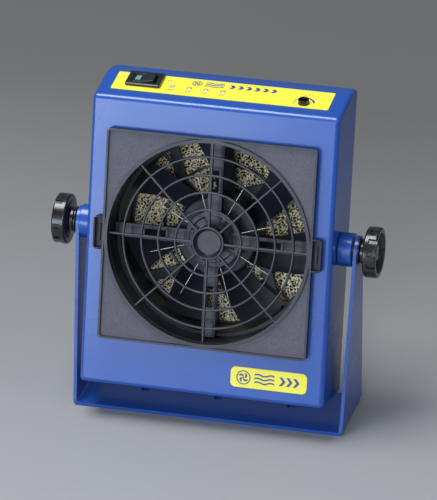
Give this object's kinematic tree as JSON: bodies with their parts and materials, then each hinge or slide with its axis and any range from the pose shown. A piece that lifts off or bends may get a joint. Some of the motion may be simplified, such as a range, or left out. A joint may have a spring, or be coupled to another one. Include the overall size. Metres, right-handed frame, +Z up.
{
  "type": "benchtop ionizing blower",
  "caption": "Square fan head with a ringed guard, emitter needles, a slanted control panel and a rear filter, tilting in a U-shaped bench stand with clamp knobs.",
  "frame": {"origin": "on the bench, under the middle of the object's bounding box at rest", "axes": "+Z up; the air outlet faces -Y and leans back 13 degrees; +X points to the speed control, to the right of a person who faces the outlet"},
  "size_m": [0.196, 0.0864, 0.1978],
  "materials": {
    "blue_paint": "glossy enamel on sheet steel",
    "black_plastic": "satin moulded plastic with a fine grain",
    "gloss_black": "polished black plastic",
    "yellow_film": "printed yellow film",
    "steel": "bright zinc or bare steel",
    "copper_winding": "varnished copper wire",
    "foam": "open-cell reticulated foam",
    "green_lens": "translucent green lens",
    "clear_lens": "diffused lens",
    "circuit_board": "solder-resist laminate",
    "potting": "cast potting compound"
  },
  "bodies": {
    "stand": {"stand_bracket": "blue_paint"},
    "head": {"control_label": "yellow_film", "switch_body": "gloss_black", "indicator_1": "clear_lens", "indicator_2": "clear_lens", "indicator_3": "clear_lens", "indicator_4": "clear_lens", "speed_pot": "gloss_black", "indicator_board": "circuit_board", "front_case": "blue_paint", "rear_cover": "blue_paint", "cover_screw_1": "steel", "cover_screw_2": "steel", "cover_screw_3": "steel", "cover_screw_4": "steel", "spacer_left": "blue_paint", "weld_nut_left": "steel", "spacer_right": "blue_paint", "weld_nut_right": "steel", "badge": "yellow_film", "guard_base": "black_plastic", "duct_ring": "black_plastic", "electrode_holder": "black_plastic", "emitter_needle_1": "steel", "emitter_needle_2": "steel", "emitter_needle_3": "steel", "emitter_needle_4": "steel", "emitter_needle_5": "steel", "emitter_needle_6": "steel", "emitter_needle_7": "steel", "emitter_needle_8": "steel", "fan_housing": "black_plastic", "fan_stator": "copper_winding", "filter_base": "black_plastic", "fan_screw_1": "steel", "fan_screw_2": "steel", "fan_screw_3": "steel", "fan_screw_4": "steel", "power_inlet": "gloss_black", "inlet_pin_1": "steel", "inlet_pin_2": "steel", "inlet_pin_3": "steel", "control_board": "circuit_board", "high_voltage_module": "potting"},
    "clamp_left": {"washer_left": "gloss_black"},
    "knob_left": {"stud_left": "steel", "knob_left": "gloss_black"},
    "clamp_right": {"washer_right": "gloss_black"},
    "knob_right": {"stud_right": "steel", "knob_right": "gloss_black"},
    "rocker": {"switch_rocker": "gloss_black", "switch_lamp": "green_lens"},
    "speed_control": {"speed_rotor": "gloss_black"},
    "impeller": {"impeller": "black_plastic", "fan_shaft": "steel"},
    "guard": {"front_guard": "black_plastic"},
    "filter": {"filter_foam": "foam", "filter_cover": "black_plastic"}
  },
  "joints": [
    {"name": "head_tilt", "type": "hinge", "parent": "stand", "child": "head", "pos_m": [0, -0.00157, 0.10725], "axis": [1, 0, 0], "range_deg": [-77, 103]},
    {"name": "clamp_left_slide", "type": "slide", "parent": "head", "child": "clamp_left", "axis": [-1, 0, 0], "range_m": [0, 0.0021]},
    {"name": "knob_left_turn", "type": "hinge", "parent": "clamp_left", "child": "knob_left", "pos_m": [-0.09, -0.00157, 0.10725], "axis": [-1, 0, 0], "range_deg": [0, 720]},
    {"name": "clamp_right_slide", "type": "slide", "parent": "head", "child": "clamp_right", "axis": [1, 0, 0], "range_m": [0, 0.0021]},
    {"name": "knob_right_turn", "type": "hinge", "parent": "clamp_right", "child": "knob_right", "pos_m": [0.09, -0.00157, 0.10725], "axis": [1, 0, 0], "range_deg": [0, 720]},
    {"name": "switch_rock", "type": "hinge", "parent": "head", "child": "rocker", "pos_m": [-0.0478, 0.01563, 0.19238], "axis": [0, 0.9944, 0.1058], "range_deg": [0, 14]},
    {"name": "speed_turn", "type": "hinge", "parent": "head", "child": "speed_control", "pos_m": [0.0492, 0.00876, 0.19265], "axis": [0, -0.1058, 0.9944], "range_deg": [-135, 135]},
    {"name": "impeller_spin", "type": "hinge", "parent": "head", "child": "impeller", "pos_m": [0, 0.00574, 0.10556], "axis": [0, 0.9744, -0.225], "continuous": true},
    {"name": "guard_pull", "type": "slide", "parent": "head", "child": "guard", "axis": [0, -0.9744, 0.225], "range_m": [0, 0.03]},
    {"name": "filter_pull", "type": "slide", "parent": "head", "child": "filter", "axis": [0, 0.9744, -0.225], "range_m": [0, 0.03]}
  ],
  "couplings": [
    {"joint": "clamp_left_slide", "follows": "knob_left_turn", "m_per_rad": 0.00015915},
    {"joint": "clamp_right_slide", "follows": "knob_right_turn", "m_per_rad": 0.00015915}
  ]
}
